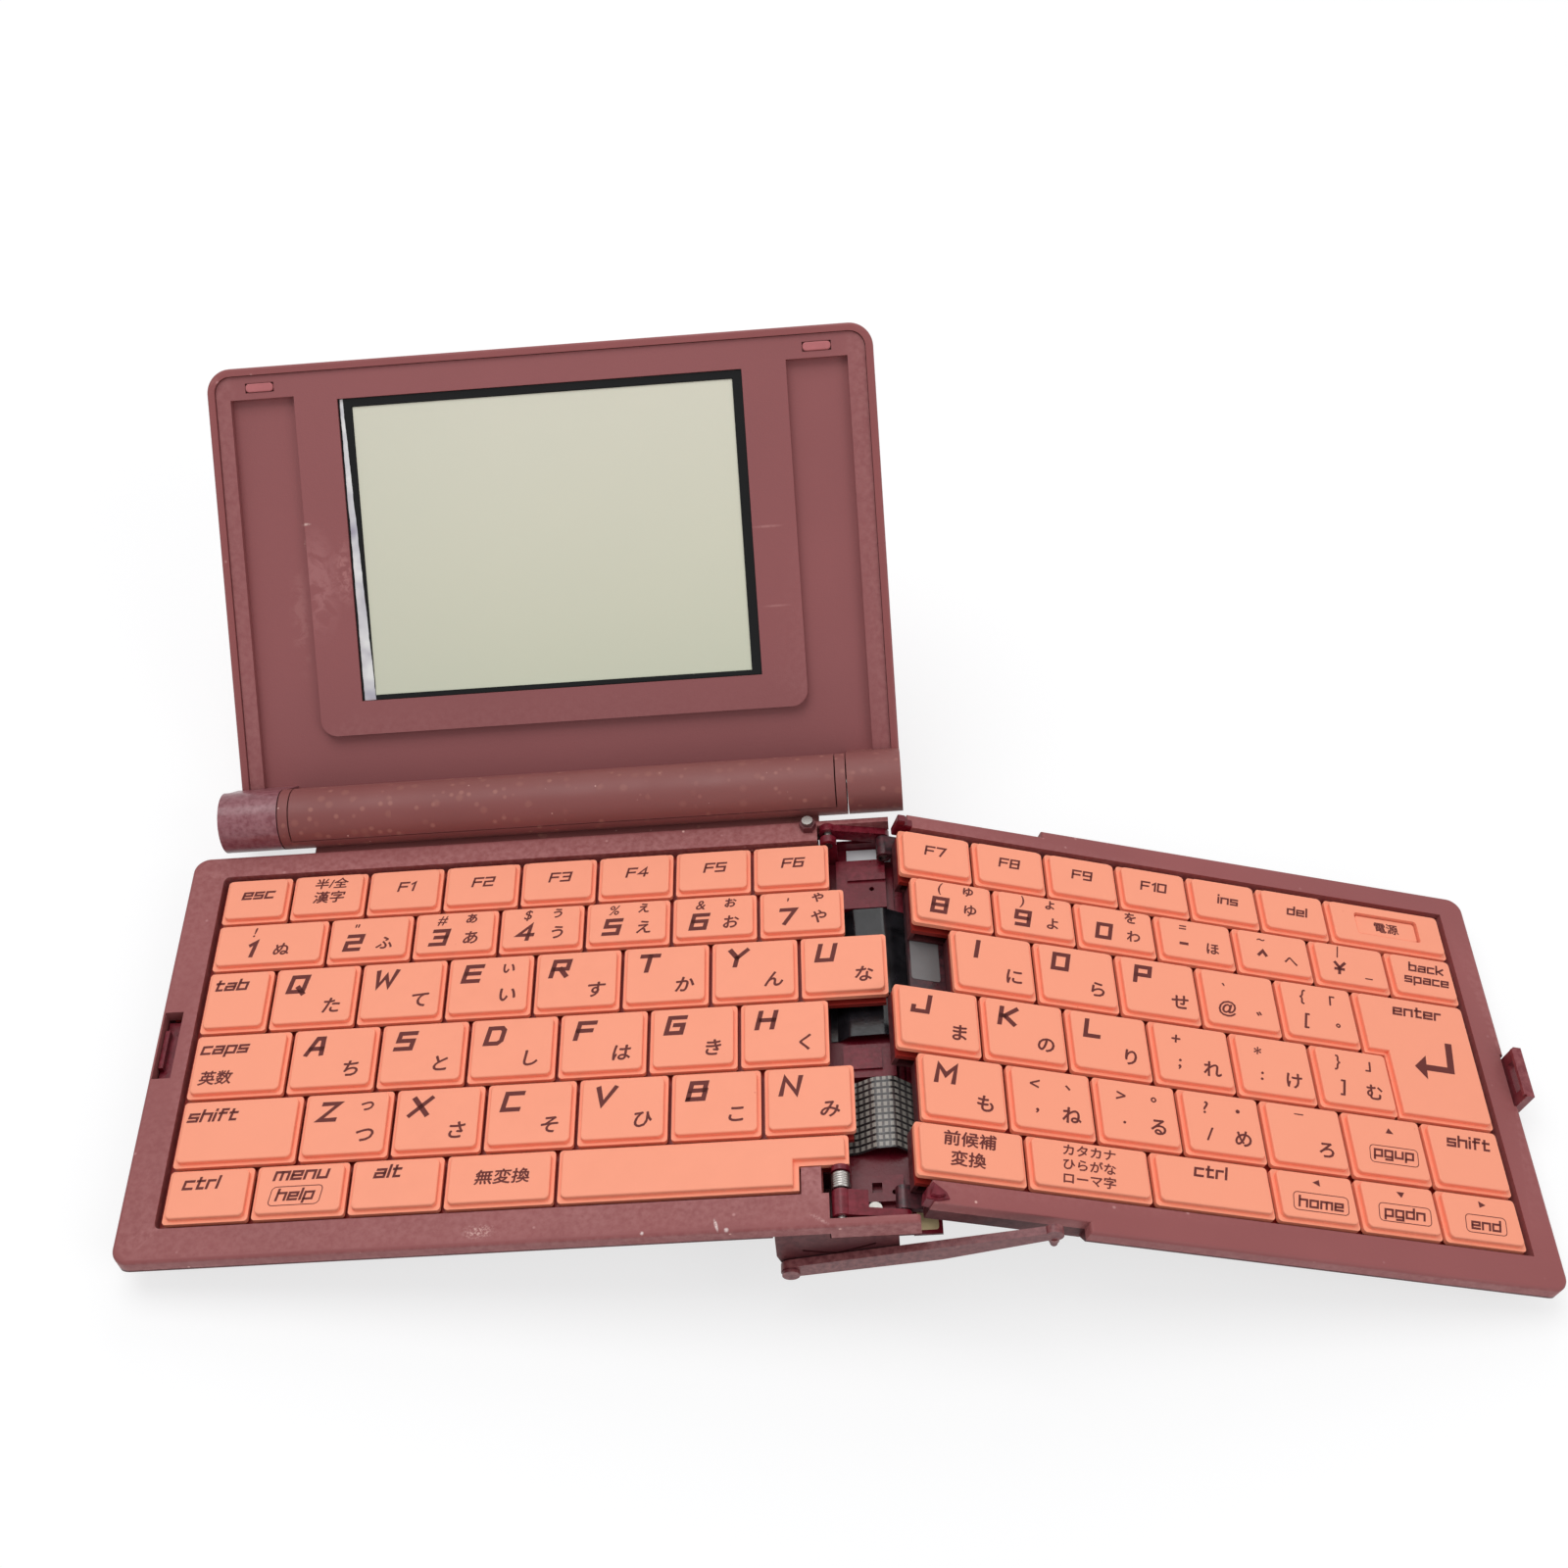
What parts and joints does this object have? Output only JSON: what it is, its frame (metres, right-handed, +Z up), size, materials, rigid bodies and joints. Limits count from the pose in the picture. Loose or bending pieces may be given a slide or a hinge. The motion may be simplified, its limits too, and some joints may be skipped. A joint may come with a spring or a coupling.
{
  "type": "electronic word processor",
  "caption": "Pocket word processor: two keyboard halves folding on a two-axis hinge, and a screen lid on a battery barrel behind the left half.",
  "frame": {"origin": "bottom centre of the bounding box, on the surface the device stands on", "axes": "+X to the right along the keyboard, +Y to the rear towards the lid, +Z up; every hinge of the folding keyboard runs along Y"},
  "size_m": [0.2696, 0.177, 0.0914],
  "materials": {
    "body_plastic": "dusty maroon moulded plastic, dulled gloss with fine scuffs",
    "shell_plastic": "dark maroon moulded plastic with a fine grain",
    "lid_inner_plastic": "dusty maroon, fine eggshell texture",
    "key_plastic": "salmon pink key plastic, satin",
    "plate_plastic": "dark red plate under the keys",
    "membrane_rubber": "thin red rubber sheet",
    "chassis_plastic": "crimson moulded hinge parts",
    "steel": "bright steel pins, links and screws",
    "carriage_paint": "stamped steel painted dark maroon",
    "foot_rubber": "black rubber",
    "pad_rubber": "pinkish soft rubber",
    "board_laminate": "green glass-fibre circuit board",
    "cell_metal": "plain metal cell case",
    "spring_steel": "spring steel",
    "cable_film": "grey and black flexible cable film",
    "label_paper": "plain unprinted label",
    "barrel_plastic": "maroon plastic with dust specks",
    "screen_frame": "black display frame",
    "screen_glass": "pale grey-green unlit liquid crystal screen",
    "knuckle_plastic": "darker maroon glossy cap"
  },
  "bodies": {
    "left_half": {"left_upper_frame": "body_plastic", "left_bottom_shell": "shell_plastic", "left_key_plate": "plate_plastic", "left_membrane": "membrane_rubber", "left_circuit_board": "board_laminate", "left_feet": "foot_rubber", "left_screws": "steel", "hinge_chassis": "chassis_plastic", "hinge_housing": "shell_plastic", "first_axis_pins": "steel", "hinge_spring": "spring_steel", "bay_rivets": "steel", "flat_cables": "cable_film", "blank_labels": "label_paper", "latch_catch": "chassis_plastic", "battery_tube": "barrel_plastic", "battery_cells": "cell_metal", "battery_contacts": "spring_steel", "lid_hinge_pins": "steel"},
    "cover": {"battery_cover": "barrel_plastic"},
    "lid": {"lid_outer_shell": "body_plastic", "lid_inner_shell": "lid_inner_plastic", "screen_border": "screen_frame", "screen_panel": "screen_glass", "lid_circuit_board": "board_laminate", "lid_bumper_pads": "pad_rubber", "left_hinge_knuckle": "knuckle_plastic", "right_hinge_knuckle": "barrel_plastic"},
    "links": {"hinge_links": "chassis_plastic", "second_axis_pins": "steel"},
    "carriage": {"slide_carriage": "carriage_paint"},
    "right_half": {"right_upper_frame": "body_plastic", "right_bottom_shell": "shell_plastic", "right_key_plate": "plate_plastic", "right_membrane": "membrane_rubber", "right_circuit_board": "board_laminate", "right_feet": "foot_rubber", "right_screws": "steel", "power_surround": "key_plastic"},
    "hook": {"latch_hook": "chassis_plastic"},
    "arm": {"front_link_arm": "shell_plastic", "front_arm_pins": "steel"},
    "space_key_body": {"space_key": "key_plastic"},
    "left_shift_key_body": {"left_shift_key": "key_plastic"},
    "escape_key_body": {"escape_key": "key_plastic"},
    "left_keys_row_1_body": {"left_keys_row_1": "key_plastic"},
    "left_keys_row_2_body": {"left_keys_row_2": "key_plastic"},
    "left_keys_row_3_body": {"left_keys_row_3": "key_plastic"},
    "left_keys_row_4_body": {"left_keys_row_4": "key_plastic"},
    "left_keys_row_5_body": {"left_keys_row_5": "key_plastic"},
    "left_keys_row_6_body": {"left_keys_row_6": "key_plastic"},
    "enter_key_body": {"enter_key": "key_plastic"},
    "power_button_body": {"power_button": "key_plastic"},
    "arrow_keys_body": {"arrow_keys": "key_plastic"},
    "right_keys_row_1_body": {"right_keys_row_1": "key_plastic"},
    "right_keys_row_2_body": {"right_keys_row_2": "key_plastic"},
    "right_keys_row_3_body": {"right_keys_row_3": "key_plastic"},
    "right_keys_row_4_body": {"right_keys_row_4": "key_plastic"},
    "right_keys_row_5_body": {"right_keys_row_5": "key_plastic"},
    "right_keys_row_6_body": {"right_keys_row_6": "key_plastic"}
  },
  "joints": [
    {"name": "spine_fold", "type": "hinge", "parent": "left_half", "child": "links", "pos_m": [-0.00449, -0.04044, 0.02763], "axis": [0, -1, 0], "range_deg": [0, 102]},
    {"name": "half_fold", "type": "hinge", "parent": "links", "child": "carriage", "pos_m": [0.00662, -0.04044, 0.02692], "axis": [0, -1, 0], "range_deg": [0, 98.11]},
    {"name": "half_slide", "type": "slide", "parent": "carriage", "child": "right_half", "axis": [0.979, 0, -0.2038], "range_m": [-0.0075, 0]},
    {"name": "lid_hinge", "type": "hinge", "parent": "left_half", "child": "lid", "pos_m": [-0.05847, 0.01196, 0.02359], "axis": [-0.9894, 0, -0.1451], "range_deg": [-135.1, 6]},
    {"name": "cover_slide", "type": "slide", "parent": "left_half", "child": "cover", "axis": [-0.1429, -0.1736, 0.9744], "range_m": [0, 0.012]},
    {"name": "hook_slide", "type": "slide", "parent": "right_half", "child": "hook", "axis": [-0.979, 0, 0.2038], "range_m": [0, 0.0006], "stiffness_N_per_m": 300, "springref_m": -0.001},
    {"name": "arm_pivot", "type": "hinge", "parent": "left_half", "child": "arm", "pos_m": [-0.0126, -0.08604, 0.01475], "axis": [0, -1, 0], "range_deg": [-6, 10]},
    {"name": "space_key_press", "type": "slide", "parent": "left_half", "child": "space_key_body", "axis": [0.1451, 0, -0.9894], "range_m": [0, 0.0011], "stiffness_N_per_m": 200, "springref_m": -0.001},
    {"name": "left_shift_key_press", "type": "slide", "parent": "left_half", "child": "left_shift_key_body", "axis": [0.1451, 0, -0.9894], "range_m": [0, 0.0011], "stiffness_N_per_m": 200, "springref_m": -0.001},
    {"name": "escape_key_press", "type": "slide", "parent": "left_half", "child": "escape_key_body", "axis": [0.1451, 0, -0.9894], "range_m": [0, 0.0011], "stiffness_N_per_m": 200, "springref_m": -0.001},
    {"name": "left_keys_row_1_press", "type": "slide", "parent": "left_half", "child": "left_keys_row_1_body", "axis": [0.1451, 0, -0.9894], "range_m": [0, 0.0011], "stiffness_N_per_m": 200, "springref_m": -0.001},
    {"name": "left_keys_row_2_press", "type": "slide", "parent": "left_half", "child": "left_keys_row_2_body", "axis": [0.1451, 0, -0.9894], "range_m": [0, 0.0011], "stiffness_N_per_m": 200, "springref_m": -0.001},
    {"name": "left_keys_row_3_press", "type": "slide", "parent": "left_half", "child": "left_keys_row_3_body", "axis": [0.1451, 0, -0.9894], "range_m": [0, 0.0011], "stiffness_N_per_m": 200, "springref_m": -0.001},
    {"name": "left_keys_row_4_press", "type": "slide", "parent": "left_half", "child": "left_keys_row_4_body", "axis": [0.1451, 0, -0.9894], "range_m": [0, 0.0011], "stiffness_N_per_m": 200, "springref_m": -0.001},
    {"name": "left_keys_row_5_press", "type": "slide", "parent": "left_half", "child": "left_keys_row_5_body", "axis": [0.1451, 0, -0.9894], "range_m": [0, 0.0011], "stiffness_N_per_m": 200, "springref_m": -0.001},
    {"name": "left_keys_row_6_press", "type": "slide", "parent": "left_half", "child": "left_keys_row_6_body", "axis": [0.1451, 0, -0.9894], "range_m": [0, 0.0011], "stiffness_N_per_m": 200, "springref_m": -0.001},
    {"name": "enter_key_press", "type": "slide", "parent": "right_half", "child": "enter_key_body", "axis": [-0.2038, 0, -0.979], "range_m": [0, 0.0011], "stiffness_N_per_m": 200, "springref_m": -0.001},
    {"name": "power_button_press", "type": "slide", "parent": "right_half", "child": "power_button_body", "axis": [-0.2038, 0, -0.979], "range_m": [0, 0.0011], "stiffness_N_per_m": 200, "springref_m": -0.001},
    {"name": "arrow_keys_press", "type": "slide", "parent": "right_half", "child": "arrow_keys_body", "axis": [-0.2038, 0, -0.979], "range_m": [0, 0.0011], "stiffness_N_per_m": 200, "springref_m": -0.001},
    {"name": "right_keys_row_1_press", "type": "slide", "parent": "right_half", "child": "right_keys_row_1_body", "axis": [-0.2038, 0, -0.979], "range_m": [0, 0.0011], "stiffness_N_per_m": 200, "springref_m": -0.001},
    {"name": "right_keys_row_2_press", "type": "slide", "parent": "right_half", "child": "right_keys_row_2_body", "axis": [-0.2038, 0, -0.979], "range_m": [0, 0.0011], "stiffness_N_per_m": 200, "springref_m": -0.001},
    {"name": "right_keys_row_3_press", "type": "slide", "parent": "right_half", "child": "right_keys_row_3_body", "axis": [-0.2038, 0, -0.979], "range_m": [0, 0.0011], "stiffness_N_per_m": 200, "springref_m": -0.001},
    {"name": "right_keys_row_4_press", "type": "slide", "parent": "right_half", "child": "right_keys_row_4_body", "axis": [-0.2038, 0, -0.979], "range_m": [0, 0.0011], "stiffness_N_per_m": 200, "springref_m": -0.001},
    {"name": "right_keys_row_5_press", "type": "slide", "parent": "right_half", "child": "right_keys_row_5_body", "axis": [-0.2038, 0, -0.979], "range_m": [0, 0.0011], "stiffness_N_per_m": 200, "springref_m": -0.001},
    {"name": "right_keys_row_6_press", "type": "slide", "parent": "right_half", "child": "right_keys_row_6_body", "axis": [-0.2038, 0, -0.979], "range_m": [0, 0.0011], "stiffness_N_per_m": 200, "springref_m": -0.001}
  ],
  "couplings": [
    {"joint": "half_fold", "follows": "spine_fold", "ratio": 0.96176}
  ]
}
